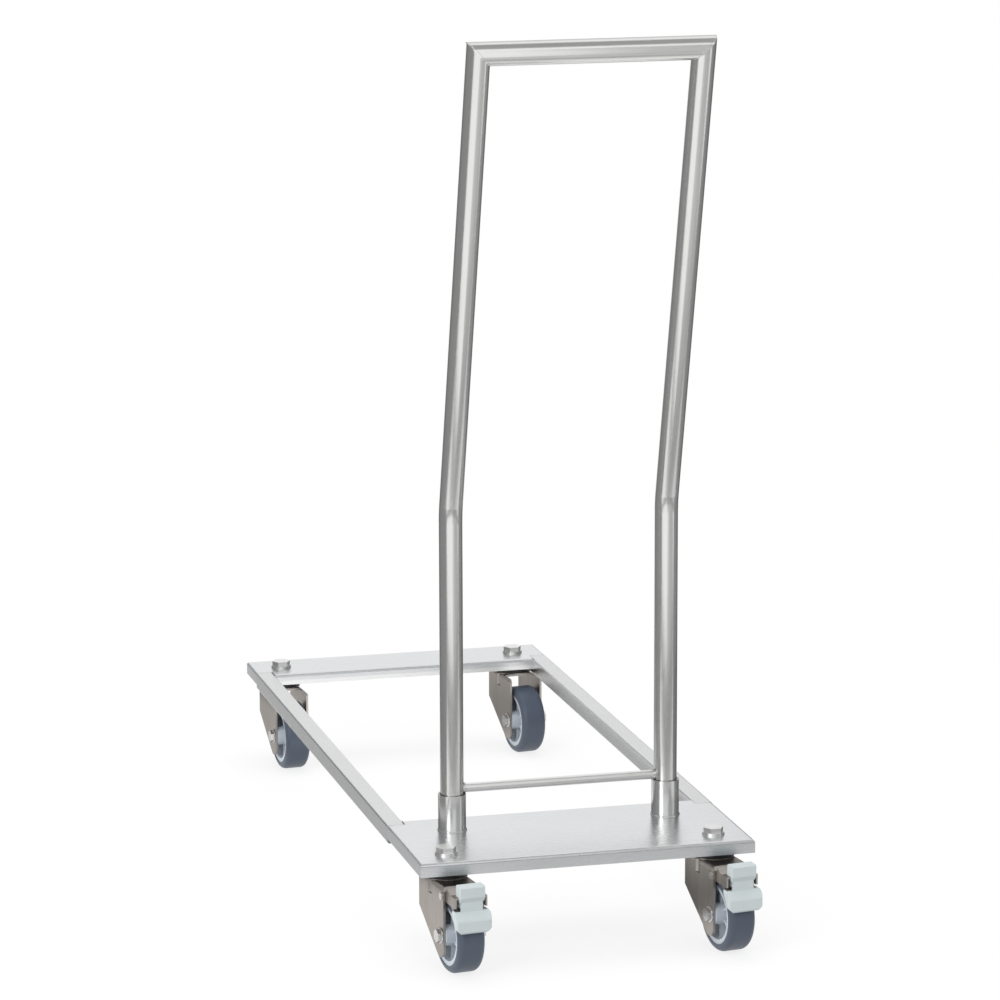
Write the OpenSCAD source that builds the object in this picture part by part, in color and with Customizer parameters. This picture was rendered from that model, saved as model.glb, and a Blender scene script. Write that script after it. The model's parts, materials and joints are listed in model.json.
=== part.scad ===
// Combi oven transport trolley: a low stainless base on four swivel casters
// with a push handle that plugs into two sockets on the front deck.
// The front of the trolley is at -Y and the floor is at Z = 0.

/* [Base frame] */
// Width of the base across the two rails
frame_w = 366; // [340:1:420]
// Length of the base from the front edge to the rear edge
frame_l = 920; // [700:5:1200]
// Depth of the front deck, which carries the handle
front_deck_d = 170; // [160:1:240]
// Depth of the rear deck
rear_deck_d = 76; // [72:1:120]
// Thickness of the deck sheet
sheet_t = 2; // [1.5:0.1:2.5]
// Outer radius of the folded edges
bend_r = 3.5; // [3:0.1:5]
// Height of the outer flanges of both decks
flange_h = 14.5; // [12:0.5:18]
// Height of the short lip along the inner edge of each deck
lip_h = 8; // [6:0.5:10]
// Width and height of the square rails
rail_w = 20; // [16:1:25]
// Wall of the square rails
rail_t = 1.5; // [1:0.1:2.5]
// Corner radius of the square rails
rail_r = 2.5; // [2.2:0.1:3]
// Length of rail that is let into the corners of each deck
rail_lap = 16; // [12:1:20]
// Thickness of the plates that close the rail ends
rail_cap_t = 1.5; // [1:0.1:3]
// Thickness of the plates under the decks that carry the casters
caster_bar_t = 12; // [8:0.5:12]

/* [Handle] */
// Outer diameter of the handle tube
tube_d = 25; // [20:0.5:28]
// Wall of the handle tube
tube_t = 1.5; // [1:0.1:2.5]
// Distance between the axes of the two uprights
handle_w = 238; // [200:1:260]
// Distance from the front edge of the base to the uprights
handle_inset = 122; // [115:1:130]
// Height of the bend above the deck
bend_h = 347; // [250:1:450]
// Radius of the bend along the tube axis
bend_axis_r = 80; // [60:5:120]
// Angle by which the upper part leans towards the operator
lean = 14.3; // [8:0.1:20]
// Height of the top bar axis above the deck
grip_h = 845.5; // [700:0.5:950]
// Diameter of the thin bar between the uprights
cross_d = 10; // [8:1:14]
// Height of the thin bar's axis above the deck
cross_h = 45.5; // [45.5:0.5:80]
// Height of the sockets that hold the uprights
socket_h = 40; // [30:1:40]
// Wall of the sockets
socket_t = 2; // [1.5:0.1:3]
// Gap all round between an upright and its socket
socket_gap = 0.5; // [0.3:0.1:0.8]

/* [Casters] */
// Height of a caster from the floor to its seat
caster_h = 104; // [94:1:116]
// Height from the top of the wheels to the casters' seats
wheel_room = 22; // [21.5:0.5:26]
// Width of the tyres
tyre_w = 30; // [26:1:32]
// Thickness of the tyre on its rim
tyre_t = 8; // [6:0.5:10]
// Shoulder radius of the tyre
tyre_r = 6.5; // [3:0.5:7]
// Offset of the wheel axle from the swivel axis
trail = 37; // [34:1:38]
// Angle at which the front left caster stands
turn_fl = 7; // [-12:1:12]
// Angle at which the front right caster stands
turn_fr = 8; // [-12:1:12]
// Angle at which the rear left caster stands
turn_rl = 4; // [-12:1:12]
// Angle at which the rear right caster stands
turn_rr = 7; // [-12:1:12]
// Distance of the swivel axes from the left and right sides of the base
caster_side = 36; // [33:1:45]
// Distance of the swivel axes from the front and rear edges
caster_inset = 35; // [32:1:38]
// Thickness of the fork sheet
fork_t = 2.5; // [2:0.1:3]
// Gap between the tyre and each fork leg
fork_gap = 3.5; // [3.2:0.1:5]
// Height of the swivel bearing between the fork crown and the seat
race_h = 9; // [8:0.5:10]
// Outer diameter of the swivel cap
cap_d = 46; // [42:1:48]
// Diameter of the swivel balls
ball_d = 5; // [4:0.5:6]
// Number of balls in each swivel bearing
ball_n = 14; // [8:1:16]
// Diameter of the bolts that hold the casters
bolt_d = 12; // [10:1:12]
// Distance across the flats of the bolt heads
bolt_af = 19; // [17:1:21]
// Height of the bolt heads
bolt_head_h = 5; // [4:0.5:8]
// Diameter of the washers under the bolt heads
washer_d = 24; // [23:1:28]
// Thickness of the washers
washer_t = 2.5; // [1.5:0.1:3]
// Diameter of the axle bolts
axle_d = 8; // [6:1:8]
// Distance across the flats of the axle heads and nuts
axle_af = 13; // [12:1:14]

/* [Brakes] */
// Diameter of the brake pins
pin_d = 5; // [4:0.5:5]
// Distance of the brake pins in front of the swivel axis
pin_a = 41; // [40.5:0.5:42]
// Distance of the brake pins below the fork crown's top face
pin_drop = 10; // [10:0.5:10.5]
// Thickness of the brake lever sheet
lever_t = 2; // [1.5:0.1:2]
// Distance of the pedal's front in front of the wheel
pedal_front = 5; // [4:0.5:12]
// Angle by which the pedal goes down to brake
press = 4; // [2:0.5:4]
// Width of the pedal's upper pad
pad_w = 27; // [25:1:34]
// Width of the pedal's lower tread
tread_w = 40; // [39:1:46]
// Height of the pedal's top above the roof of the brake lever
pad_rise = 12.5; // [7.5:0.5:12.5]

/* [Hidden] */
$fn = 48;

// Running clearance on the radius of a shaft that turns
run = 0.05;
// Clearance on the radius of a bolt in its hole
free = 0.2;
// Gap between neighbouring faces of two moving bodies
gap = 0.3;
// Extra length that takes a cut clear of a face
cut = 1;

// Colours
steel = [0.78, 0.78, 0.77];
fork_steel = [0.66, 0.63, 0.6];
bright = [0.85, 0.85, 0.86];
dark = [0.09, 0.09, 0.1];
wheel_grey = [0.8, 0.82, 0.84];
tyre_blue = [0.33, 0.38, 0.45];
pedal_green = [0.76, 0.82, 0.81];

// Heights that follow the height of the casters
crown_h = caster_h - race_h;
wheel_d = caster_h - wheel_room;
wheel_r = wheel_d / 2;
pin_z = crown_h - pin_drop;

// Plan of the trolley: the origin is the centre of its whole outline
pedal_r = 3;
pedal_reach = trail + wheel_r + pedal_front;
function reach(turn) = (pedal_reach - pedal_r) * cos(turn)
    + (tread_w / 2 - pedal_r) * abs(sin(turn)) + pedal_r - caster_inset;
overhang = max(reach(turn_fl), reach(turn_fr));
front_y = (overhang - frame_l) / 2;
back_y = front_y + frame_l;
deck_z = caster_h + caster_bar_t + sheet_t;
rail_start = front_y + front_deck_d - rail_lap;
rail_end = back_y - rear_deck_d + rail_lap;
caster_x = frame_w / 2 - caster_side;
FRONT_LEFT = [-caster_x, front_y + caster_inset, turn_fl];
FRONT_RIGHT = [caster_x, front_y + caster_inset, turn_fr];
REAR_LEFT = [-caster_x, back_y - caster_inset, turn_rl];
REAR_RIGHT = [caster_x, back_y - caster_inset, turn_rr];
CASTERS = [FRONT_LEFT, FRONT_RIGHT, REAR_LEFT, REAR_RIGHT];

// Handle: the bend is a little thicker than the straight tube, which ends inside it
bend_swell = 0.05;
bend_seat = 1;
upright_x = handle_w / 2;
upright_y = front_y + handle_inset;
bend_z = deck_z + bend_h;
bend_run = bend_axis_r * tan(lean / 2);
foot_l = bend_h - bend_run;
grip_z = deck_z + grip_h;
grip_y = upright_y - (grip_z - bend_z) * tan(lean);
upper_l = (grip_z - bend_z) / cos(lean) - bend_run;

// Wheels: a bush runs on a tube that the axle bolt clamps between the fork legs
rim_r = wheel_r - tyre_t;
fork_in = tyre_w + 2 * fork_gap;
fork_out = fork_in + 2 * fork_t;
spacer_t = 1.8;
spacer_r = axle_d / 2 + free + spacer_t;
bush_t = 1.5;
bush_r = spacer_r + run + bush_t;
hub_t = 4;
hub_l = fork_in - 2 * gap;
web_t = 5;
rim_w = tyre_w - 2;
rim_t = 5;
rim_draft = 2;
rib_n = 6;
rib_t = 2.5;
rib_w = tyre_w - 12;
axle_head_h = 5;
nut_h = 7;
bolt_end = 1;

// Swivels: a king pin carries the cap, and the fork turns below it on balls
king_r = bolt_d / 2 + 3;
king_flange_r = king_r + 4;
king_flange_t = 2;
ball_gap = 0.1;
king_z = crown_h - fork_t - ball_gap - king_flange_t;
cap_skirt_t = 2;
cap_lift = 0.8;
race_z = crown_h + ball_d + 2 * ball_gap;
ball_ring_r = (king_r + cap_d / 2 - cap_skirt_t) / 2;

// Forks: places are a distance in front of the swivel axis and a height above the floor
fork_bend_r = 2 * fork_t;
leg_back = cap_d / 2 + 3;
leg_back_h = 37;
leg_front = pin_a + 5;
leg_r = 11;
leg_c = [leg_front - leg_r, wheel_r - 13];
crown_slope = 4;
head_front = cap_d / 2;
race_lap = 0.5;
recess_a = 6;
recess_w = 10;
recess_h = 16;
recess_t = 1.6;
recess_r = (pow(recess_w / 2, 2) + pow(recess_t, 2)) / (2 * recess_t);

// Brakes: a folded steel lever with a shoe above the tyre, and a moulded pedal on its front
cheek_b = fork_in / 2 - gap;
eye_r = 5.5;
cheek_drop = 6;
lever_top = pin_z + eye_r;
hood_back = leg_front + 3;
hood_front = hood_back + 11;
hood_top = lever_top + 4.5;
shoe_gap = 0.4;
shoe_t = 3;
shoe_from = 42;
shoe_to = 62;
strut_t = 4;
strut_turn = 52;
strut_c = [trail, wheel_r]
    + (wheel_r + shoe_gap + shoe_t / 2) * [cos(strut_turn), sin(strut_turn)];
pin_head_r = pin_d / 2 + 1.5;
pin_head_t = 1.5;
pad_t = 6;
pad_lap = 8.5;
pedal_top = lever_top + pad_rise;
pad_edge = 1.5;
pad_front = pedal_reach - 4.5;
lever_front = pad_front - pad_t;
neck_front = lever_front + 3;
neck_w = pad_w - 3;
step_high = pin_z + 6;
step_low = pin_z + 1;
tread_low = pin_z - 31.5;
tread_high = pin_z - 9;
lip_high = pin_z - 16.5;
tread_back = pedal_reach - 17;
tread_gap = 3.3;
tread_flare = 6.5;
tread_edge = 2;
wing_b = cheek_b - 0.6;
plug_room = lever_front - strut_c[0] - strut_t / 2 - 1;
plug_l = min(6, plug_room);
plug_h = 9;

// Flat outlines

module rounded_top(w, h, r) {
    translate([0, -h]) square([w, h - r]);
    translate([r, -h]) square([w - 2 * r, h]);
    translate([r, -r]) circle(r);
    translate([w - r, -r]) circle(r);
}

module rounded_square(w, h, r) {
    square([w - 2 * r, h], center = true);
    square([w, h - 2 * r], center = true);
    for (x = [-1, 1], y = [-1, 1])
        translate([x * (w / 2 - r), y * (h / 2 - r)]) circle(r);
}

// Tube section of outer diameter d and wall t
module ring(d, t) {
    difference() {
        circle(d = d);
        circle(d = d - 2 * t);
    }
}

// Stands an outline of (distance in front of the swivel axis, height) upright, w wide
module side_view(w) {
    rotate([90, 0, -90]) linear_extrude(w, center = true) children();
}

// Point where a line from p touches the circle of radius r round c
function touch(p, c, r) =
    let (d = p - c, a = atan2(d[1], d[0]) + acos(r / norm(d)))
    c + r * [cos(a), sin(a)];

module hexagon(af, h) {
    cylinder(d = af / cos(30), h = h, $fn = 6);
}

// Base frame

module folded_block(w, d, h, r) {
    intersection() {
        rotate([90, 0, 90]) linear_extrude(w, center = true) rounded_top(d, h, r);
        translate([-w / 2, d, 0]) rotate([90, 0, 0]) linear_extrude(d) rounded_top(w, h, r);
    }
}

// A folded deck with its outer edge along y = 0 and its top at z = 0
module deck(d) {
    color(steel) difference() {
        folded_block(frame_w, d, flange_h, bend_r);
        translate([0, sheet_t, -sheet_t])
            folded_block(frame_w - 2 * sheet_t, d - 2 * sheet_t, flange_h, bend_r - sheet_t);
        translate([-frame_w / 2 - cut, d - rail_lap, -flange_h - cut])
            cube([frame_w + 2 * cut, rail_lap + cut, flange_h - lip_h + cut]);
        for (s = [-1, 1]) {
            translate([s * frame_w / 2, d, 0])
                cube([2 * rail_w, 2 * rail_lap, 3 * flange_h], center = true);
            translate([s * caster_x, caster_inset, -flange_h])
                cylinder(r = bolt_d / 2 + free, h = 2 * flange_h);
        }
    }
}

module front_deck() {
    translate([0, front_y, deck_z]) deck(front_deck_d);
}

module rear_deck() {
    translate([0, back_y, deck_z]) mirror([0, 1, 0]) deck(rear_deck_d);
}

module rail(s) {
    color(steel)
        translate([s * (frame_w - rail_w) / 2, rail_end - rail_cap_t, deck_z - rail_w / 2])
        rotate([90, 0, 0]) linear_extrude(rail_end - rail_start - 2 * rail_cap_t) difference() {
            rounded_square(rail_w, rail_w, rail_r);
            rounded_square(rail_w - 2 * rail_t, rail_w - 2 * rail_t, rail_r - rail_t);
        }
}

module left_rail() { rail(-1); }

module right_rail() { rail(1); }

module rail_end_caps() {
    color(steel) for (s = [-1, 1], y = [rail_start + rail_cap_t, rail_end])
        translate([s * (frame_w - rail_w) / 2, y, deck_z - rail_w / 2])
            rotate([90, 0, 0]) linear_extrude(rail_cap_t) rounded_square(rail_w, rail_w, rail_r);
}

// Plate that fills a deck as deep as the rear one, from its outer fold to its lip
module caster_bar() {
    rail_x = frame_w / 2 - rail_w;
    edge_x = frame_w / 2 - bend_r;
    step_y = rear_deck_d - rail_lap;
    lip_y = rear_deck_d - bend_r;
    color(steel) translate([0, 0, caster_h]) difference() {
        linear_extrude(caster_bar_t) polygon([
            [-edge_x, bend_r], [edge_x, bend_r], [edge_x, step_y], [rail_x, step_y],
            [rail_x, lip_y], [-rail_x, lip_y], [-rail_x, step_y], [-edge_x, step_y],
        ]);
        for (s = [-1, 1]) translate([s * caster_x, caster_inset, -cut])
            cylinder(r = bolt_d / 2 + free, h = caster_bar_t + 2 * cut);
    }
}

module front_caster_bar() { translate([0, front_y, 0]) caster_bar(); }

module rear_caster_bar() { translate([0, back_y, 0]) mirror([0, 1, 0]) caster_bar(); }

// Handle

module socket(s) {
    color(bright) translate([s * upright_x, upright_y, deck_z])
        linear_extrude(socket_h) ring(tube_d + 2 * (socket_gap + socket_t), socket_t);
}

module left_socket() { socket(-1); }

module right_socket() { socket(1); }

// Takes a child that stands on the upper end of the left upright's bend to its place
module above_bend() {
    translate([-upright_x, upright_y - bend_axis_r, bend_z - bend_run]) rotate([lean, 0, 0])
        translate([0, bend_axis_r, 0]) children();
}

// A bar of diameter d along the left upright: a straight foot, a bend and a straight top
module bent_bar(d) {
    translate([-upright_x, upright_y, deck_z])
        rotate([0, 0, 90]) cylinder(d = d, h = foot_l + bend_seat);
    translate([-upright_x, upright_y - bend_axis_r, bend_z - bend_run])
        rotate([90, 0, 90]) rotate_extrude(angle = lean)
        translate([bend_axis_r, 0]) circle(r = d / 2 + bend_swell);
    above_bend() translate([0, 0, -bend_seat])
        rotate([0, 0, 90]) cylinder(d = d, h = bend_seat + upper_l + tube_d);
}

module upright() {
    color(bright) difference() {
        bent_bar(tube_d);
        bent_bar(tube_d - 2 * tube_t);
        above_bend() translate([0, 0, upper_l]) rotate([0, 45, 0])
            translate([-2 * tube_d, -2 * tube_d, 0]) cube(4 * tube_d);
    }
}

module left_upright() { upright(); }

module right_upright() { mirror([1, 0, 0]) upright(); }

module top_bar() {
    color(bright) translate([0, grip_y, grip_z]) rotate([lean, 0, 0]) difference() {
        rotate([0, 90, 0]) linear_extrude(handle_w + 2 * tube_d, center = true)
            ring(tube_d, tube_t);
        for (s = [0, 1]) mirror([s, 0, 0]) translate([-upright_x, 0, 0]) rotate([0, 45, 0])
            translate([-2 * tube_d, -2 * tube_d, -4 * tube_d]) cube(4 * tube_d);
    }
}

module cross_bar() {
    color(bright) difference() {
        translate([0, upright_y, deck_z + cross_h]) rotate([0, 90, 0])
            cylinder(d = cross_d, h = handle_w, center = true);
        for (s = [-1, 1]) translate([s * upright_x, upright_y, deck_z])
            cylinder(d = tube_d, h = 2 * cross_h);
    }
}

// Fasteners that hold the casters

module caster_bolts() {
    color(bright) for (p = CASTERS) translate([p[0], p[1], 0]) {
        translate([0, 0, deck_z + washer_t]) hexagon(bolt_af, bolt_head_h);
        translate([0, 0, king_z]) cylinder(d = bolt_d, h = deck_z + washer_t - king_z);
    }
}

module caster_washers() {
    color(bright) for (p = CASTERS) translate([p[0], p[1], deck_z])
        linear_extrude(washer_t) ring(washer_d, (washer_d - bolt_d) / 2 - free);
}

module king_pins() {
    color(bright) for (p = CASTERS) translate([p[0], p[1], king_z]) difference() {
        union() {
            cylinder(r = king_flange_r, h = king_flange_t);
            cylinder(r = king_r, h = caster_h - king_z);
        }
        translate([0, 0, -cut]) cylinder(r = bolt_d / 2 + ball_gap, h = caster_h);
    }
}

// Casters: each piece is drawn with the swivel axis on Z and the wheel towards -Y

module at(p) {
    translate([p[0], p[1], 0]) rotate([0, 0, p[2]]) children();
}

module on_axle() {
    translate([0, -trail, wheel_r]) rotate([0, 90, 0]) children();
}

module swivel_cap() {
    color(dark) difference() {
        translate([0, 0, crown_h + cap_lift])
            cylinder(d = cap_d, h = caster_h - crown_h - cap_lift);
        translate([0, 0, crown_h]) cylinder(d = cap_d - 2 * cap_skirt_t, h = race_z - crown_h);
        cylinder(r = king_r, h = caster_h + cut);
    }
}

module swivel_balls() {
    color(bright) for (i = [0:ball_n - 1]) rotate([0, 0, i * 360 / ball_n])
        translate([ball_ring_r, 0, crown_h + ball_gap + ball_d / 2]) sphere(d = ball_d, $fn = 16);
}

module leg_outline() {
    back = [-leg_back, crown_h - leg_back_h];
    polygon([
        [-leg_back, crown_h + cut], back, touch(back, leg_c, leg_r), leg_c,
        [leg_front, leg_c[1]], [leg_front, crown_h - crown_slope],
        [leg_front - crown_slope, crown_h + cut],
    ]);
    translate(leg_c) circle(leg_r);
}

module fork_section() {
    difference() {
        translate([-fork_out / 2, crown_h]) rounded_top(fork_out, crown_h, fork_bend_r);
        translate([-fork_in / 2, crown_h - fork_t])
            rounded_top(fork_in, crown_h, fork_bend_r - fork_t);
    }
}

// A ring on the crown is the lower race. A plain fork's crown ends in front of it, between the
// legs, and a braked one's goes on to their front edge.
module fork(braked) {
    color(fork_steel) difference() {
        union() {
            intersection() {
                side_view(fork_out + cut) leg_outline();
                rotate([90, 0, 0]) linear_extrude(4 * leg_front, center = true) fork_section();
            }
            translate([0, 0, crown_h - race_lap])
                linear_extrude(race_lap + cap_lift - gap) ring(cap_d - 2 * gap, cap_skirt_t);
        }
        cylinder(r = king_r + run, h = caster_h);
        on_axle() cylinder(r = axle_d / 2 + free, h = fork_out + cut, center = true);
        if (braked) on_brake_pin() cylinder(d = pin_d, h = fork_out + cut, center = true);
        if (!braked) side_view(fork_in)
            translate([head_front, crown_h - fork_bend_r]) square([leg_front, fork_bend_r + cut]);
        for (s = [-1, 1]) translate([
            s * (fork_out / 2 + recess_r - recess_t), -recess_a, crown_h - recess_h,
        ]) cylinder(r = recess_r, h = recess_h + cut);
    }
}

module axle_bolt() {
    color(bright) on_axle() {
        translate([0, 0, -fork_out / 2 - axle_head_h]) hexagon(axle_af, axle_head_h);
        translate([0, 0, -fork_out / 2]) cylinder(d = axle_d, h = fork_out + nut_h + bolt_end);
    }
}

module axle_nut() {
    color(bright) on_axle() translate([0, 0, fork_out / 2]) difference() {
        hexagon(axle_af, nut_h);
        translate([0, 0, -cut]) cylinder(d = axle_d, h = nut_h + 2 * cut);
    }
}

module axle_tube() {
    color(bright) on_axle() linear_extrude(fork_in, center = true) ring(2 * spacer_r, spacer_t);
}

module wheel_bush() {
    color(dark) on_axle() linear_extrude(hub_l, center = true) ring(2 * bush_r, bush_t);
}

module wheel_core() {
    color(wheel_grey) on_axle() {
        rotate_extrude() {
            translate([bush_r, -hub_l / 2]) square([hub_t, hub_l]);
            translate([bush_r, -web_t / 2]) square([rim_r - bush_r, web_t]);
            for (s = [0, 1]) mirror([0, s]) polygon([
                [rim_r, 0], [rim_r, rim_w / 2], [rim_r - rim_t, rim_w / 2],
                [rim_r - rim_t - rim_draft, 0],
            ]);
        }
        for (i = [0:rib_n - 1]) rotate([0, 0, i * 360 / rib_n])
            translate([bush_r + hub_t / 2, -rib_t / 2, -rib_w / 2])
            cube([rim_r - rim_t / 2 - bush_r - hub_t / 2, rib_t, rib_w]);
    }
}

module tyre() {
    color(tyre_blue) on_axle() rotate_extrude() difference() {
        translate([rim_r, 0]) rounded_square(2 * tyre_t, tyre_w, tyre_r);
        translate([0, -tyre_w]) square([rim_r, 2 * tyre_w]);
    }
}

// Brakes

module on_brake_pin() {
    translate([0, -pin_a, pin_z]) rotate([0, 90, 0]) children();
}

module lever_outline() {
    translate([pin_a, pin_z]) circle(eye_r);
    polygon([
        [pin_a, lever_top], [leg_front, lever_top], [hood_back, hood_top],
        [hood_front, lever_top], [lever_front, lever_top],
        [lever_front, pin_z - cheek_drop], [pin_a, pin_z - eye_r],
    ]);
}

module lever_roof() {
    polygon([
        [hood_back, hood_top], [hood_front, lever_top], [lever_front, lever_top],
        [lever_front, lever_top - lever_t], [hood_front, lever_top - lever_t],
        [hood_back, hood_top - lever_t],
    ]);
}

// The curved shoe over the tyre and the strut that joins it to the lever's roof. The shoe fits
// the tyre when the pedal is down, and the whole lever stands up by the angle press at rest.
module shoe_outline() {
    pin = [pin_a, pin_z];
    far = 2 * wheel_r;
    translate(pin) rotate(press) translate(-pin) {
        intersection() {
            translate([trail, wheel_r]) ring(2 * (wheel_r + shoe_gap + shoe_t), shoe_t);
            translate([trail, wheel_r]) polygon([
                [0, 0], far * [cos(shoe_from), sin(shoe_from)], far * [cos(shoe_to), sin(shoe_to)],
            ]);
        }
        translate([strut_c[0] - strut_t / 2, strut_c[1]])
            square([strut_t, lever_top - lever_t - strut_c[1]]);
    }
}

module brake_lever() {
    color(fork_steel) difference() {
        union() {
            for (s = [-1, 1]) translate([s * (cheek_b - lever_t / 2), 0, 0])
                side_view(lever_t) lever_outline();
            side_view(2 * cheek_b - lever_t) {
                lever_roof();
                shoe_outline();
            }
        }
        on_brake_pin() cylinder(r = pin_d / 2 + run, h = fork_out, center = true);
    }
}

module brake_pin() {
    color(bright) on_brake_pin() {
        cylinder(d = pin_d, h = fork_out, center = true);
        for (s = [-1, 1]) translate([0, 0, s * (fork_out + pin_head_t) / 2])
            cylinder(r = pin_head_r, h = pin_head_t, center = true);
    }
}

// A moulded pedal: a pad over the lever's front end, a neck, and a flared tread with two wings
module brake_pedal() {
    color(pedal_green) {
        side_view(pad_w) polygon([
            [lever_front - pad_lap, lever_top], [lever_front - pad_lap, pedal_top - pad_edge],
            [lever_front - pad_lap + pad_edge, pedal_top], [pad_front - pad_edge, pedal_top],
            [pad_front, pedal_top - pad_edge], [pad_front, step_high],
            [neck_front, step_low], [lever_front, step_low], [lever_front, lever_top],
        ]);
        side_view(neck_w) translate([lever_front, tread_high - cut])
            square([neck_front - lever_front, step_low - tread_high + 2 * cut]);
        side_view(neck_w) translate([lever_front - plug_l, lever_top - lever_t - free - plug_h])
            square([plug_l + cut, plug_h]);
        difference() {
            pedal_tread();
            side_view(2 * wing_b) translate([0, tread_low - cut])
                square([lever_front, tread_high - tread_low + 2 * cut]);
        }
    }
}

module pedal_tread() {
    side = tread_w / 2;
    intersection() {
        side_view(tread_w) difference() {
            polygon([
                [tread_back, tread_low], [pedal_reach - tread_edge, tread_low],
                [pedal_reach, tread_low + tread_edge], [pedal_reach, lip_high - tread_edge],
                [pedal_reach - tread_edge / 2, lip_high], [neck_front, tread_high],
                [tread_back, tread_high],
            ]);
            translate([trail, wheel_r]) circle(wheel_r + tread_gap);
        }
        rotate([90, 0, 0]) linear_extrude(2 * pedal_reach, center = true) polygon([
            [tread_flare - side, tread_low - cut], [side - tread_flare, tread_low - cut],
            [side, tread_low + tread_flare - cut], [side, tread_high - tread_edge],
            [side - tread_edge, tread_high + cut], [tread_edge - side, tread_high + cut],
            [-side, tread_high - tread_edge], [-side, tread_low + tread_flare - cut],
        ]);
        translate([0, -(pedal_reach + tread_back) / 2, 0]) linear_extrude(pedal_top)
            rounded_square(tread_w, pedal_reach - tread_back, pedal_r);
    }
}

module front_left_swivel_cap() { at(FRONT_LEFT) swivel_cap(); }

module front_left_swivel_balls() { at(FRONT_LEFT) swivel_balls(); }

module front_left_fork() { at(FRONT_LEFT) fork(true); }

module front_left_axle_bolt() { at(FRONT_LEFT) axle_bolt(); }

module front_left_axle_nut() { at(FRONT_LEFT) axle_nut(); }

module front_left_axle_tube() { at(FRONT_LEFT) axle_tube(); }

module front_left_wheel_bush() { at(FRONT_LEFT) wheel_bush(); }

module front_left_wheel_core() { at(FRONT_LEFT) wheel_core(); }

module front_left_tyre() { at(FRONT_LEFT) tyre(); }

module front_left_brake_lever() { at(FRONT_LEFT) brake_lever(); }

module front_left_brake_pedal() { at(FRONT_LEFT) brake_pedal(); }

module front_left_brake_pin() { at(FRONT_LEFT) brake_pin(); }

module front_right_swivel_cap() { at(FRONT_RIGHT) swivel_cap(); }

module front_right_swivel_balls() { at(FRONT_RIGHT) swivel_balls(); }

module front_right_fork() { at(FRONT_RIGHT) fork(true); }

module front_right_axle_bolt() { at(FRONT_RIGHT) axle_bolt(); }

module front_right_axle_nut() { at(FRONT_RIGHT) axle_nut(); }

module front_right_axle_tube() { at(FRONT_RIGHT) axle_tube(); }

module front_right_wheel_bush() { at(FRONT_RIGHT) wheel_bush(); }

module front_right_wheel_core() { at(FRONT_RIGHT) wheel_core(); }

module front_right_tyre() { at(FRONT_RIGHT) tyre(); }

module front_right_brake_lever() { at(FRONT_RIGHT) brake_lever(); }

module front_right_brake_pedal() { at(FRONT_RIGHT) brake_pedal(); }

module front_right_brake_pin() { at(FRONT_RIGHT) brake_pin(); }

module rear_left_swivel_cap() { at(REAR_LEFT) swivel_cap(); }

module rear_left_swivel_balls() { at(REAR_LEFT) swivel_balls(); }

module rear_left_fork() { at(REAR_LEFT) fork(false); }

module rear_left_axle_bolt() { at(REAR_LEFT) axle_bolt(); }

module rear_left_axle_nut() { at(REAR_LEFT) axle_nut(); }

module rear_left_axle_tube() { at(REAR_LEFT) axle_tube(); }

module rear_left_wheel_bush() { at(REAR_LEFT) wheel_bush(); }

module rear_left_wheel_core() { at(REAR_LEFT) wheel_core(); }

module rear_left_tyre() { at(REAR_LEFT) tyre(); }

module rear_right_swivel_cap() { at(REAR_RIGHT) swivel_cap(); }

module rear_right_swivel_balls() { at(REAR_RIGHT) swivel_balls(); }

module rear_right_fork() { at(REAR_RIGHT) fork(false); }

module rear_right_axle_bolt() { at(REAR_RIGHT) axle_bolt(); }

module rear_right_axle_nut() { at(REAR_RIGHT) axle_nut(); }

module rear_right_axle_tube() { at(REAR_RIGHT) axle_tube(); }

module rear_right_wheel_bush() { at(REAR_RIGHT) wheel_bush(); }

module rear_right_wheel_core() { at(REAR_RIGHT) wheel_core(); }

module rear_right_tyre() { at(REAR_RIGHT) tyre(); }

front_deck();
rear_deck();
left_rail();
right_rail();
rail_end_caps();
front_caster_bar();
rear_caster_bar();
left_socket();
right_socket();
left_upright();
right_upright();
top_bar();
cross_bar();
caster_bolts();
caster_washers();
king_pins();
front_left_swivel_cap();
front_left_swivel_balls();
front_left_fork();
front_left_axle_bolt();
front_left_axle_nut();
front_left_axle_tube();
front_left_wheel_bush();
front_left_wheel_core();
front_left_tyre();
front_left_brake_lever();
front_left_brake_pedal();
front_left_brake_pin();
front_right_swivel_cap();
front_right_swivel_balls();
front_right_fork();
front_right_axle_bolt();
front_right_axle_nut();
front_right_axle_tube();
front_right_wheel_bush();
front_right_wheel_core();
front_right_tyre();
front_right_brake_lever();
front_right_brake_pedal();
front_right_brake_pin();
rear_left_swivel_cap();
rear_left_swivel_balls();
rear_left_fork();
rear_left_axle_bolt();
rear_left_axle_nut();
rear_left_axle_tube();
rear_left_wheel_bush();
rear_left_wheel_core();
rear_left_tyre();
rear_right_swivel_cap();
rear_right_swivel_balls();
rear_right_fork();
rear_right_axle_bolt();
rear_right_axle_nut();
rear_right_axle_tube();
rear_right_wheel_bush();
rear_right_wheel_core();
rear_right_tyre();
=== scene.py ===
import json
import math

import bmesh
import bpy
from mathutils import Matrix, Vector


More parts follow.
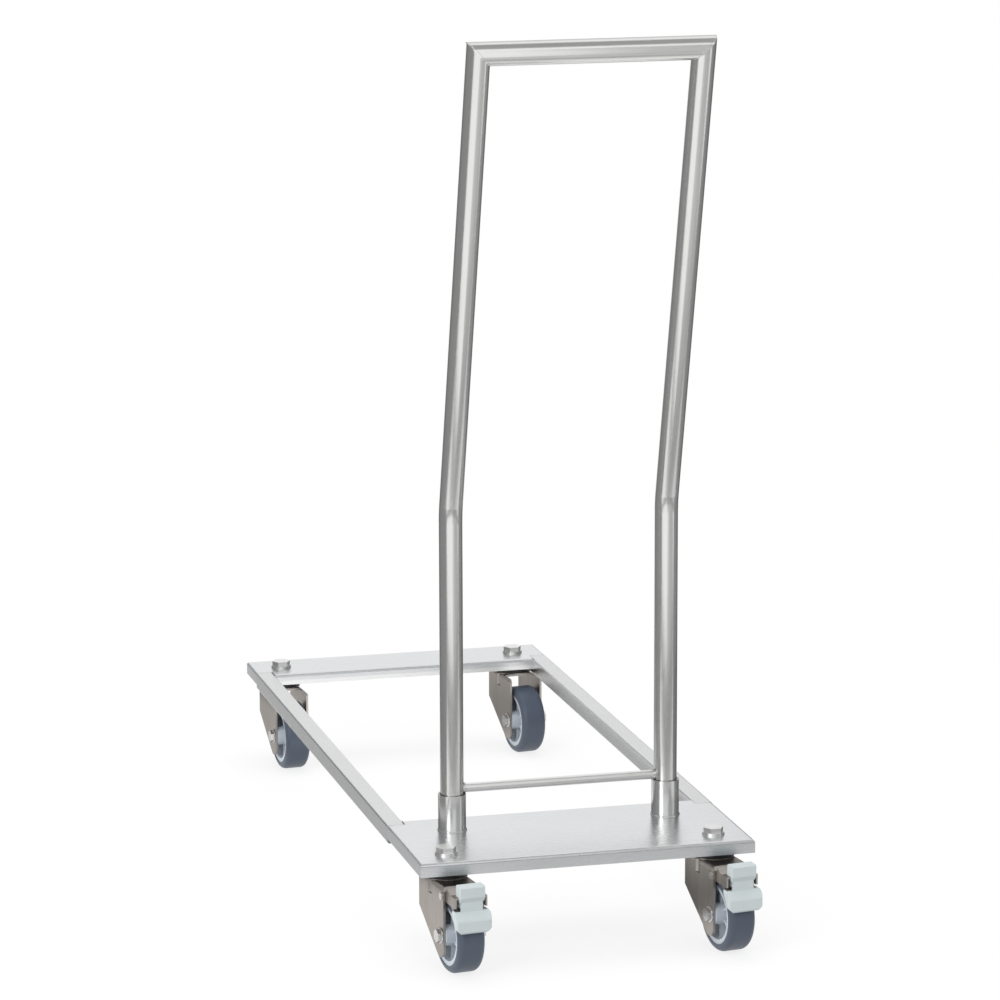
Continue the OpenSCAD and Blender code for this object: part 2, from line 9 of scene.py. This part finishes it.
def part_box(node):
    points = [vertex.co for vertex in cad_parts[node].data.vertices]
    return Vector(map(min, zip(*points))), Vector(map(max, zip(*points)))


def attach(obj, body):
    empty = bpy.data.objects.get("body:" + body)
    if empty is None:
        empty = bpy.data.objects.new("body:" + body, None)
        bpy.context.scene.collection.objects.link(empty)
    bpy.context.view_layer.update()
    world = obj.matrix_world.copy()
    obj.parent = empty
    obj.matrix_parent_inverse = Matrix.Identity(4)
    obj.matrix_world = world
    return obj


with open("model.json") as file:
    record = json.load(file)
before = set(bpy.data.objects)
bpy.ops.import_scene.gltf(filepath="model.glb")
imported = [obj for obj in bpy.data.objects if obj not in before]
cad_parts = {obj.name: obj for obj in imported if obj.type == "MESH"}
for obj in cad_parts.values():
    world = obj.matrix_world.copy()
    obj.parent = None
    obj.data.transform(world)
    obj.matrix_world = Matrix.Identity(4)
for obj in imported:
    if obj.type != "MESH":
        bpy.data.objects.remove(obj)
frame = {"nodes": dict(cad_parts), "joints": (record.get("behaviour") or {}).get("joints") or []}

NODES = frame["nodes"]
JOINTS = {j["name"]: j for j in frame["joints"]}
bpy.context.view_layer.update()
CASTERS = ("front_left", "front_right", "rear_left", "rear_right")
SIDES = ((-1, "left"), (1, "right"))
MM = 0.001


# Materials: noise scales, changes of roughness, and the depth of the relief in metres

METAL_DETAIL = 3
METAL_CLOUD_SCALE = 14
METAL_TONE_RANGE = (-0.4, 1.6)
METAL_ROUGH_CHANGE = 0.07
BRUSH_BUMP = 0.25
BRUSH_DEPTH = 0.02 * MM
PLASTIC_GRAIN_DETAIL = 4
PLASTIC_CLOUD_DETAIL = 3
PLASTIC_CLOUD_SCALE = 40
PLASTIC_ROUGH_CHANGE = 0.08
PLASTIC_GRAIN_DEPTH = 0.1 * MM


def new_material(name):
    """A material, its node tree and its Principled shader."""
    material = bpy.data.materials.new(name)
    material.use_nodes = True
    tree = material.node_tree
    return material, tree, tree.nodes["Principled BSDF"]


def noise(tree, scale, detail, stretch=(1, 1, 1)):
    """Noise from 0 to 1 in object coordinates, stretched along each axis."""
    coords = tree.nodes.new("ShaderNodeTexCoord")
    mapping = tree.nodes.new("ShaderNodeMapping")
    mapping.inputs["Scale"].default_value = stretch
    node = tree.nodes.new("ShaderNodeTexNoise")
    tree.links.new(coords.outputs["Object"], mapping.inputs["Vector"])
    tree.links.new(mapping.outputs["Vector"], node.inputs["Vector"])
    node.inputs["Scale"].default_value = scale
    node.inputs["Detail"].default_value = detail
    return node.outputs["Fac"]


def combine(tree, operation, first, second):
    """The result of a math operation on two values."""
    node = tree.nodes.new("ShaderNodeMath")
    node.operation = operation
    tree.links.new(first, node.inputs[0])
    tree.links.new(second, node.inputs[1])
    return node.outputs["Value"]


def spread(tree, source, low, high):
    """Maps a 0 to 1 value to low to high."""
    node = tree.nodes.new("ShaderNodeMapRange")
    node.inputs["To Min"].default_value = low
    node.inputs["To Max"].default_value = high
    tree.links.new(source, node.inputs["Value"])
    return node.outputs["Result"]


def vary_colour(tree, source, colour, change):
    """The colour, darker to lighter by a share of itself, by a 0 to 1 value."""
    ramp = tree.nodes.new("ShaderNodeValToRGB")
    darker = [c * (1 - change) for c in colour]
    lighter = [min(1, c * (1 + change)) for c in colour]
    ramp.color_ramp.elements[0].color = (*darker, 1)
    ramp.color_ramp.elements[1].color = (*lighter, 1)
    tree.links.new(source, ramp.inputs["Fac"])
    return ramp.outputs["Color"]


def vary_rough(tree, shader, source, rough, change):
    """Lets the shader's roughness go up and down by change, by a 0 to 1 value."""
    tree.links.new(
        spread(tree, source, rough - change, rough + change), shader.inputs["Roughness"])


def add_bump(tree, shader, height, strength, depth):
    """Gives the shader a relief of that depth from a 0 to 1 value."""
    node = tree.nodes.new("ShaderNodeBump")
    node.inputs["Strength"].default_value = strength
    node.inputs["Distance"].default_value = depth
    tree.links.new(height, node.inputs["Height"])
    tree.links.new(node.outputs["Normal"], shader.inputs["Normal"])


def steel(name, colour, rough, grain, change=0.05, tint=0.5):
    """Stainless steel with brushing lines: grain is how often they change along each axis."""
    material, tree, shader = new_material(name)
    shader.inputs["Metallic"].default_value = 1
    shader.inputs["Specular Tint"].default_value = (tint, tint, tint, 1)
    lines = noise(tree, 1, METAL_DETAIL, grain)
    cloud = noise(tree, METAL_CLOUD_SCALE, METAL_DETAIL)
    tone = spread(tree, combine(tree, "MULTIPLY", lines, cloud), *METAL_TONE_RANGE)
    tree.links.new(vary_colour(tree, tone, colour, change), shader.inputs["Base Color"])
    vary_rough(tree, shader, lines, rough, METAL_ROUGH_CHANGE)
    add_bump(tree, shader, lines, BRUSH_BUMP, BRUSH_DEPTH)
    return material


def plastic(name, colour, rough, change, scale, bump):
    """Moulded plastic or rubber with a fine grain and slow changes of tone."""
    material, tree, shader = new_material(name)
    grain = noise(tree, scale, PLASTIC_GRAIN_DETAIL)
    cloud = noise(tree, PLASTIC_CLOUD_SCALE, PLASTIC_CLOUD_DETAIL)
    tree.links.new(vary_colour(tree, cloud, colour, change), shader.inputs["Base Color"])
    vary_rough(tree, shader, cloud, rough, PLASTIC_ROUGH_CHANGE)
    add_bump(tree, shader, grain, bump, PLASTIC_GRAIN_DEPTH)
    return material


# How often the metal's grain changes along x, y and z, in changes per metre
ALONG_X = (30, 1600, 1600)
ALONG_Y = (1600, 30, 1600)
TUBE_GRAIN = (1600, 1600, 60)
FORK_GRAIN = (260, 260, 9)
WELD_GRAIN = (700, 700, 700)
FINE_GRAIN = (900, 900, 900)

SHEET = steel("brushed_sheet", (0.75, 0.76, 0.77), 0.28, ALONG_X, tint=1.0)
PLATE = steel("pale_plate", (0.88, 0.88, 0.88), 0.32, ALONG_X, tint=1.0)
RAIL = steel("brushed_rail", (0.7, 0.705, 0.71), 0.28, ALONG_Y, tint=1.0)
TUBE = steel("ground_tube", (0.83, 0.83, 0.82), 0.21, TUBE_GRAIN, tint=0.35)
BAR = steel("ground_bar", (0.87, 0.87, 0.86), 0.2, ALONG_X, tint=0.5)
ROD = steel("ground_rod", (0.88, 0.88, 0.87), 0.34, ALONG_X, tint=0.9)
FORK = steel("pressed_sheet", (0.53, 0.49, 0.455), 0.34, FORK_GRAIN, 0.2, tint=0.6)
BRIGHT = steel("bright_fasteners", (0.91, 0.91, 0.9), 0.34, FINE_GRAIN, 0.06, tint=0.9)
AXLE = steel("axle_fasteners", (0.72, 0.71, 0.7), 0.27, FINE_GRAIN, 0.06, tint=0.7)
WELD = steel("ground_weld", (0.8, 0.8, 0.79), 0.26, WELD_GRAIN, 0.1)
# Near black on the swivel caps: partly their own black dust cover, partly painted shade of the
# dark gap under the deck
CAP_AND_PAINTED_SHADE = plastic("black_cap_and_painted_shade", (0.012, 0.012, 0.014), 0.45, 0.2, 1500, 0.1)
BUSH = plastic("dark_bush", (0.03, 0.03, 0.033), 0.5, 0.2, 1500, 0.1)
CORE = plastic("grey_core", (0.56, 0.61, 0.66), 0.45, 0.05, 1200, 0.1)
TYRE = plastic("blue_grey_tyre", (0.064, 0.083, 0.117), 0.42, 0.12, 1800, 0.2)
PEDAL = plastic("pale_pedal", (0.56, 0.62, 0.63), 0.42, 0.04, 1200, 0.1)

# Part of a construction node's name and its finish: the first that fits counts
FINISHES = (
    ("_deck", SHEET), ("caster_bar", PLATE), ("rail", RAIL), ("socket", TUBE),
    ("upright", TUBE), ("top_bar", BAR), ("cross_bar", ROD), ("fork", FORK),
    ("brake_lever", FORK), ("swivel_cap", CAP_AND_PAINTED_SHADE), ("wheel_bush", BUSH), ("wheel_core", CORE),
    ("tyre", TYRE), ("brake_pedal", PEDAL), ("axle", AXLE), ("brake_pin", AXLE),
)


def dress_nodes():
    """Gives every construction node its finish and smooth round faces."""
    for name, node in NODES.items():
        finish = next((material for part, material in FINISHES if part in name), BRIGHT)
        node.data.materials.clear()
        node.data.materials.append(finish)
        node.data.shade_smooth()


# Soft edges on the construction nodes

SHARP_ANGLE = 35

# Part of a node's name, the width of its soft edges in millimetres, and their segments
SOFT_EDGES = (
    ("caster_bolts", 0.6, 2),
    ("axle_bolt", 0.5, 2),
    ("axle_nut", 0.5, 2),
    ("caster_washers", 0.3, 2),
    ("brake_pedal", 0.7, 3),
    ("brake_lever", 0.25, 2),
    ("fork", 0.3, 2),
    ("swivel_cap", 0.4, 2),
    ("caster_bar", 0.5, 2),
)


def soften(part, width, segments):
    """Rounds the sharp edges of every node whose name holds part, for their highlights."""
    for name, node in NODES.items():
        if part in name:
            bevel = node.modifiers.new("soft_edges", "BEVEL")
            bevel.width = width * MM
            bevel.segments = segments
            bevel.limit_method = "ANGLE"
            bevel.angle_limit = math.radians(SHARP_ANGLE)
            bevel.harden_normals = True


# Mesh helpers

BEAD_SIDES = 8
BEAD_STEP = 1.6 * MM
RIPPLE_SEED = 1e4
SEED_RATE = 12.9898
POINT_RATE = 78.233
SWELL_RATE = 3.7


def add_piece(mesh, body, material):
    """Puts a mesh in the scene as a piece of its name that rides on a CAD body."""
    mesh.materials.append(material)
    piece = bpy.data.objects.new(mesh.name, mesh)
    bpy.context.collection.objects.link(piece)
    mesh.shade_smooth()
    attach(piece, body)


def finished_mesh(name, mesh):
    """Turns the faces outwards and makes the mesh data from the edit mesh."""
    bmesh.ops.recalc_face_normals(mesh, faces=mesh.faces)
    data = bpy.data.meshes.new(name)
    mesh.to_mesh(data)
    mesh.free()
    return data


def wobble(seed, index):
    """A repeatable number from -1 to 1."""
    slow = math.cos(index * SWELL_RATE + seed)
    return math.sin(seed * SEED_RATE + index * POINT_RATE) * slow


def circle_points(centre, axis, radius, count):
    """Points on a circle round axis through centre."""
    axis = Vector(axis).normalized()
    side = axis.orthogonal().normalized()
    up = axis.cross(side)
    return [
        Vector(centre) + (side * math.cos(a) + up * math.sin(a)) * radius
        for a in (2 * math.pi * k / count for k in range(count))]


def line_points(first, last):
    """Points from first to last, one about every step."""
    first, last = Vector(first), Vector(last)
    count = max(2, round((last - first).length / BEAD_STEP))
    return [first.lerp(last, k / count) for k in range(count + 1)]


def path_points(first, middle, last):
    """Points from first by way of middle, which comes once, to last."""
    return line_points(first, middle)[:-1] + line_points(middle, last)


def bead_mesh(name, points, radius, ripple, closed=False):
    """A weld bead: a tube along points whose radius goes up and down by a share, ripple."""
    mesh = bmesh.new()
    rings = []
    count = len(points)
    for index, point in enumerate(points):
        before = points[index - 1] if index or closed else point
        after = points[(index + 1) % count] if index + 1 < count or closed else point
        r = radius * (1 + ripple * wobble(radius * RIPPLE_SEED, index))
        ring = circle_points(point, after - before, r, BEAD_SIDES)
        rings.append([mesh.verts.new(corner) for corner in ring])
    pairs = list(zip(rings, rings[1:])) + ([(rings[-1], rings[0])] if closed else [])
    for first, second in pairs:
        # A ring may be turned against the one before, so its nearest vertex comes first
        start = min(range(BEAD_SIDES), key=lambda k: (second[k].co - first[0].co).length)
        for k in range(BEAD_SIDES):
            n = (k + 1) % BEAD_SIDES
            mesh.faces.new((
                first[k], first[n],
                second[(n + start) % BEAD_SIDES], second[(k + start) % BEAD_SIDES]))
    if not closed:
        mesh.faces.new(rings[0][::-1])
        mesh.faces.new(rings[-1])
    return finished_mesh(name, mesh)


def turned_mesh(name, profile, place, axis, count):
    """A disc turned round axis at place; profile is (distance along axis, radius)."""
    mesh = bmesh.new()
    rings = [
        [mesh.verts.new(point) for point in circle_points(place + axis * offset, axis, r, count)]
        for offset, r in profile]
    for first, second in zip(rings, rings[1:]):
        for k in range(count):
            n = (k + 1) % count
            mesh.faces.new((first[k], first[n], second[n], second[k]))
    mesh.faces.new(rings[0][::-1])
    mesh.faces.new(rings[-1])
    return finished_mesh(name, mesh)


# Welds of the base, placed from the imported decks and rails

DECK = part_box("front_deck")
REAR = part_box("rear_deck")
DECK_Z = DECK[1].z
FLANGE_Z = DECK[0].z
FRONT_Y = DECK[0].y
BACK_Y = REAR[1].y
HALF_W = DECK[1].x
RAIL_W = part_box("left_rail")[1].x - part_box("left_rail")[0].x
RAIL_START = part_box("rail_end_caps")[0].y
RAIL_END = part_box("rail_end_caps")[1].y

# R is a bead's radius. INSET is its distance from the base's outer side, RISE from the
# flange's lower edge and DROP from the deck's top.
CORNER_BEAD_R = 0.85 * MM
CORNER_BEAD_INSET = 0.9 * MM
CORNER_BEAD_RISE = 0.4 * MM
CORNER_BEAD_DROP = 2.2 * MM
CORNER_RIPPLE = 0.05
RAIL_BEAD_R = 0.55 * MM
RAIL_BEAD_DROP = 0.35 * MM
RAIL_BEAD_INSET = 2.5 * MM
RAIL_BEAD_RUN = 16 * MM
SIDE_BEAD_R = 0.5 * MM
SIDE_BEAD_INSET = 0.6 * MM
SIDE_BEAD_RISE = 0.5 * MM
SIDE_BEAD_DROP = 3 * MM
RAIL_RIPPLE = 0.1


def add_corner_welds(side, place):
    """Ground beads on the outer corners of both decks."""
    x = side * (HALF_W - CORNER_BEAD_INSET)
    for y, deck in (
            (FRONT_Y + CORNER_BEAD_INSET, "front"), (BACK_Y - CORNER_BEAD_INSET, "rear")):
        low = (x, y, FLANGE_Z + CORNER_BEAD_RISE)
        high = (x, y, DECK_Z - CORNER_BEAD_DROP)
        bead = bead_mesh(
            f"{deck}_{place}_corner_weld", line_points(low, high), CORNER_BEAD_R, CORNER_RIPPLE)
        add_piece(bead, "base", WELD)


def add_rail_welds(side, place):
    """Beads where a rail meets the decks: round the notch on top and down the outer side."""
    inner = side * (HALF_W - RAIL_W)
    outer = side * (HALF_W - RAIL_BEAD_INSET)
    skin = side * (HALF_W - SIDE_BEAD_INSET)
    z = DECK_Z - RAIL_BEAD_DROP
    for y, along, deck in ((RAIL_START, 1, "front"), (RAIL_END, -1, "rear")):
        bead = bead_mesh(
            f"{deck}_{place}_rail_weld",
            path_points((outer, y, z), (inner, y, z), (inner, y + along * RAIL_BEAD_RUN, z)),
            RAIL_BEAD_R, RAIL_RIPPLE)
        add_piece(bead, "base", WELD)
        high = (skin, y, DECK_Z - SIDE_BEAD_DROP)
        low = (skin, y, FLANGE_Z + SIDE_BEAD_RISE)
        bead = bead_mesh(
            f"{deck}_{place}_rail_side_weld", line_points(high, low), SIDE_BEAD_R, RAIL_RIPPLE)
        add_piece(bead, "base", WELD)


# Welds of the handle: INSET is from the cross bar's end, DEPTH and DROP from the tube's skin

FILLET_RIPPLE = 0.14
SOCKET_BEAD_R = 1.1 * MM
SOCKET_BEAD_RISE = 0.4 * MM
SOCKET_BEAD_POINTS = 90
CROSS_BEAD_R = 0.9 * MM
CROSS_BEAD_INSET = 2.2 * MM
CROSS_BEAD_POINTS = 48
MITRE_BEAD_R = 0.45 * MM
MITRE_BEAD_DEPTH = 0.3 * MM
MITRE_BEAD_DROP = 0.5 * MM
MITRE_BEAD_POINTS = 96
MITRE_RIPPLE = 0.1


def mitre_points(side, low, high):
    """Points round the mitre where the top bar meets an upright, just under the metal's skin."""
    radius = (high.z - low.z) / 2
    axis_z = (low.z + high.z) / 2
    axis_y = (low.y + high.y) / 2
    points = []
    for k in range(MITRE_BEAD_POINTS):
        a = 2 * math.pi * k / MITRE_BEAD_POINTS
        up = math.cos(a) * (radius - MITRE_BEAD_DEPTH)
        z = min(axis_z + up, high.z - MITRE_BEAD_DROP)
        x = side * (high.x - radius + (z - axis_z))
        points.append(Vector((x, axis_y + math.sin(a) * (radius - MITRE_BEAD_DEPTH), z)))
    return points


def add_handle_welds():
    """Fillets round the sockets and the cross bar, and the mitre lines of the grip."""
    for place in ("left", "right"):
        low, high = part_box(place + "_socket")
        centre = (low + high) / 2
        foot = (centre.x, centre.y, DECK_Z + SOCKET_BEAD_RISE)
        bead = bead_mesh(
            place + "_socket_weld",
            circle_points(foot, (0, 0, 1), (high.x - low.x) / 2, SOCKET_BEAD_POINTS),
            SOCKET_BEAD_R, FILLET_RIPPLE, closed=True)
        add_piece(bead, "base", WELD)
    low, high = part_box("cross_bar")
    centre = (low + high) / 2
    for side, place in SIDES:
        end = (side * (high.x - CROSS_BEAD_INSET), centre.y, centre.z)
        bead = bead_mesh(
            place + "_cross_bar_weld",
            circle_points(end, (1, 0, 0), (high.z - low.z) / 2, CROSS_BEAD_POINTS),
            CROSS_BEAD_R, FILLET_RIPPLE, closed=True)
        add_piece(bead, "handle", WELD)
    low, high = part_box("top_bar")
    for side, place in SIDES:
        bead = bead_mesh(
            place + "_mitre_weld", mitre_points(side, low, high),
            MITRE_BEAD_R, MITRE_RIPPLE, closed=True)
        add_piece(bead, "handle", WELD)


# Small parts of the casters

MOULD_LINE_R = 0.4 * MM
MOULD_LINE_DEPTH = 0.42 * MM
MOULD_LINE_POINTS = 160
WASHER_INNER_FACE = 20.95 * MM
WASHER_OUTER_FACE = 22.1 * MM
WASHER_HOLE_R = 6.2 * MM
WASHER_R = 8.5 * MM
WASHER_EDGE_DROP = 0.3 * MM
WASHER_EDGE_DEPTH = 0.2 * MM
WASHER_POINTS = 48


def washer_profile(side):
    """A washer's outline: distance from the wheel's middle along the axle, and radius."""
    rim = WASHER_R - WASHER_EDGE_DROP
    return [
        (side * WASHER_INNER_FACE, WASHER_HOLE_R),
        (side * WASHER_INNER_FACE, rim),
        (side * (WASHER_INNER_FACE + WASHER_EDGE_DEPTH), WASHER_R),
        (side * (WASHER_OUTER_FACE - WASHER_EDGE_DEPTH), WASHER_R),
        (side * WASHER_OUTER_FACE, rim),
        (side * WASHER_OUTER_FACE, WASHER_HOLE_R)]


def add_caster_details(name):
    """The tyre's mould line, and the washers under the axle's head and nut."""
    roll = JOINTS[name + "_roll"]
    centre = Vector(roll["pos_m"])
    axle = Vector(roll["axis"]).normalized()
    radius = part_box(name + "_tyre")[1].z / 2
    line = bead_mesh(
        name + "_mould_line",
        circle_points(centre, axle, radius - MOULD_LINE_DEPTH, MOULD_LINE_POINTS),
        MOULD_LINE_R, 0, closed=True)
    add_piece(line, name + "_wheel", TYRE)
    for side, place in SIDES:
        washer = turned_mesh(
            f"{name}_{place}_axle_washer", washer_profile(side), centre, axle, WASHER_POINTS)
        add_piece(washer, name + "_caster", AXLE)


# Studio: a white surround, a pale floor, and cards that only reflections show, in metres

AMBIENT = 0.8
FLOOR_SIZE = 12
FLOOR_COLOUR = (0.93, 0.93, 0.93, 1)
FLOOR_ROUGH = 0.9
# White glow takes up this share of the floor near the object and all of it beyond FADE_END.
# As a light on the object, the glow counts only by FLOOR_BOUNCE.
FLOOR_GLOW_SHARE = 0.8
FLOOR_BOUNCE = 0.62
FADE_START = 0.5
FADE_END = 1.5
CARD_Z = 3 * MM

# Name, start and end on the plan, lower and upper edge, and strength. The tall ones shade the
# sides of the tubes, the low ones the sides of the rails, decks and sockets.
UPRIGHT_CARDS = (
    ("left_card", (-0.9, -0.9), (-0.7, 2.6), (0, 1.6), 0.27),
    ("right_card", (0.9, -0.7), (1.3, 2.6), (0, 1.6), 0.26),
    ("front_right_card", (0.35, -1.7), (1.3, -1.2), (0, 1.8), 0.5),
    ("front_low_card", (-1.2, -0.85), (1.2, -0.85), (0, 0.16), 0.3),
    ("left_low_card", (-0.2, -0.26), (-0.2, 0.42), (0, 0.112), 0.5),
    ("left_rear_card", (-0.2, 0.42), (-0.2, 0.6), (0.06, 0.112), 0.5),
    ("left_deck_card", (-0.2, -0.44), (-0.2, -0.25), (0.07, 0.125), 0.5),
    ("middle_low_card", (0.14, -0.26), (0.14, 0.36), (0, 0.1), 0.48),
    ("left_socket_card", (-0.5, -0.5), (-0.45, 1.6), (0, 0.2), 0.25),
    ("right_socket_card", (0.5, -0.5), (0.5, 1.6), (0, 0.2), 0.2),
)

# Name, two opposite corners on the plan, height over the floor, and strength. The ones on the
# floor tone the tubes' lower parts, the casters and the rear deck's edge, and the ceiling the
# upper side of the top bar.
LEVEL_CARDS = (
    ("far_floor_card", (0, -2.4), (1.5, -1.3), CARD_Z, 0.6),
    ("near_floor_card", (-0.05, -1.3), (1.5, -0.9), CARD_Z, 0.44),
    ("close_floor_card", (-0.05, -0.9), (1.5, -0.5), CARD_Z, 0.75),
    ("left_wheel_card", (-0.3, -0.42), (-0.21, -0.02), CARD_Z, 1.13),
    ("right_wheel_card", (-0.06, -0.34), (0.125, -0.04), CARD_Z, 0.12),
    ("middle_floor_card", (-0.19, -0.03), (0.14, 0.3), CARD_Z, 1.5),
    ("rear_wheel_card", (-0.05, 0.5), (0.1, 0.8), CARD_Z, 0.48),
    ("ceiling_card", (-1, -1.42), (1, -0.15), 2.2, 0.36),
)

# Name, side length, place, target, watts, and whether reflections show it
LAMPS = (
    ("key", 1.6, (-2.6, -2.6, 2.2), (0, 0, 0.4), 35, True),
    ("fill", 1.6, (2.8, -2.2, 1.8), (0, 0, 0.4), 15, False),
    ("top", 2.0, (0, 0.3, 3.0), (0, 0, 0), 25, False),
    ("side", 1.0, (-3.0, -0.8, 0.6), (0, 0, 0.1), 22, False),
)


def shown_rays(tree):
    """A value that is 1 on camera, glossy and transmission rays."""
    path = tree.nodes.new("ShaderNodeLightPath")
    seen = combine(
        tree, "MAXIMUM", path.outputs["Is Camera Ray"], path.outputs["Is Glossy Ray"])
    return combine(tree, "MAXIMUM", seen, path.outputs["Is Transmission Ray"])


def make_world():
    """A white surround that lights the object a little less than it shows."""
    world = bpy.data.worlds.new("studio")
    bpy.context.scene.world = world
    world.use_nodes = True
    tree = world.node_tree
    background = tree.nodes["Background"]
    background.inputs["Color"].default_value = (1, 1, 1, 1)
    tree.links.new(spread(tree, shown_rays(tree), AMBIENT, 1), background.inputs["Strength"])


def flat_panel(name, corners, material):
    """A flat panel with those four corners."""
    mesh = bpy.data.meshes.new(name)
    mesh.from_pydata(corners, [], [(0, 1, 2, 3)])
    mesh.materials.append(material)
    panel = bpy.data.objects.new(name, mesh)
    bpy.context.collection.objects.link(panel)
    return panel


def level_corners(first, last, z):
    """The corners of a level rectangle between two opposite corners on the plan."""
    (ax, ay), (bx, by) = first, last
    return [(ax, ay, z), (bx, ay, z), (bx, by, z), (ax, by, z)]


def make_floor():
    """A pale floor that keeps the shadow and fades to the white background."""
    material, tree, shader = new_material("pale_floor")
    shader.inputs["Base Color"].default_value = FLOOR_COLOUR
    shader.inputs["Roughness"].default_value = FLOOR_ROUGH
    shader.inputs["Specular IOR Level"].default_value = 0
    coords = tree.nodes.new("ShaderNodeTexCoord")
    length = tree.nodes.new("ShaderNodeVectorMath")
    length.operation = "LENGTH"
    tree.links.new(coords.outputs["Object"], length.inputs[0])
    fade = tree.nodes.new("ShaderNodeMapRange")
    fade.interpolation_type = "SMOOTHSTEP"
    fade.inputs["From Min"].default_value = FADE_START
    fade.inputs["From Max"].default_value = FADE_END
    fade.inputs["To Min"].default_value = FLOOR_GLOW_SHARE
    tree.links.new(length.outputs["Value"], fade.inputs["Value"])
    glow = tree.nodes.new("ShaderNodeEmission")
    tree.links.new(spread(tree, shown_rays(tree), FLOOR_BOUNCE, 1), glow.inputs["Strength"])
    mix = tree.nodes.new("ShaderNodeMixShader")
    tree.links.new(fade.outputs["Result"], mix.inputs["Fac"])
    tree.links.new(shader.outputs["BSDF"], mix.inputs[1])
    tree.links.new(glow.outputs["Emission"], mix.inputs[2])
    tree.links.new(mix.outputs["Shader"], tree.nodes["Material Output"].inputs["Surface"])
    half = FLOOR_SIZE / 2
    panel = flat_panel("floor", level_corners((-half, -half), (half, half), 0), material)


def add_card(name, corners, strength):
    """A flat studio card with those corners that shows only in reflections."""
    material, tree, shader = new_material(name)
    tree.nodes.remove(shader)
    glow = tree.nodes.new("ShaderNodeEmission")
    glow.inputs["Strength"].default_value = strength
    tree.links.new(glow.outputs["Emission"], tree.nodes["Material Output"].inputs["Surface"])
    panel = flat_panel(name, corners, material)
    panel.visible_camera = False
    panel.visible_diffuse = False
    panel.visible_shadow = False


def add_cards():
    """The upright and the level cards."""
    for name, (ax, ay), (bx, by), (low, high), strength in UPRIGHT_CARDS:
        add_card(
            name, [(ax, ay, low), (bx, by, low), (bx, by, high), (ax, ay, high)], strength)
    for name, first, last, z, strength in LEVEL_CARDS:
        add_card(name, level_corners(first, last, z), strength)


def add_lamp(name, size, place, target, power, glossy):
    """A square soft lamp at place that points at target."""
    lamp = bpy.data.lights.new(name, "AREA")
    lamp.size = size
    lamp.energy = power
    holder = bpy.data.objects.new(name, lamp)
    holder.location = place
    holder.rotation_euler = (Vector(target) - Vector(place)).to_track_quat("-Z", "Y").to_euler()
    bpy.context.collection.objects.link(holder)
    holder.visible_glossy = glossy


# The camera was solved from straight edges in the photo: metres, degrees and pixels
CAMERA_PLACE = (-1.2340, -4.8452, 1.4492)
CAMERA_YAW = 14.465
CAMERA_PITCH = 11.745
CAMERA_ROLL = -0.165
FOCAL_PIXELS = 4511.2
FRAME_PIXELS = 1000
SENSOR_MM = 36
CLIP_END = 100


def make_camera():
    """The photo's camera."""
    data = bpy.data.cameras.new("photo_camera")
    data.sensor_width = SENSOR_MM
    data.lens = FOCAL_PIXELS * SENSOR_MM / FRAME_PIXELS
    data.clip_end = CLIP_END
    camera = bpy.data.objects.new("photo_camera", data)
    turn = (
        Matrix.Rotation(math.radians(-CAMERA_YAW), 4, "Z")
        @ Matrix.Rotation(math.radians(90 - CAMERA_PITCH), 4, "X")
        @ Matrix.Rotation(math.radians(CAMERA_ROLL), 4, "Z"))
    camera.matrix_world = Matrix.Translation(CAMERA_PLACE) @ turn
    bpy.context.collection.objects.link(camera)
    bpy.context.scene.camera = camera


# Build

dress_nodes()
for part, width, segments in SOFT_EDGES:
    soften(part, width, segments)
for side, place in SIDES:
    add_corner_welds(side, place)
    add_rail_welds(side, place)
add_handle_welds()
for caster in CASTERS:
    add_caster_details(caster)
make_world()
make_floor()
add_cards()
for lamp in LAMPS:
    add_lamp(*lamp)
make_camera()
bpy.context.scene.view_settings.view_transform = "Standard"
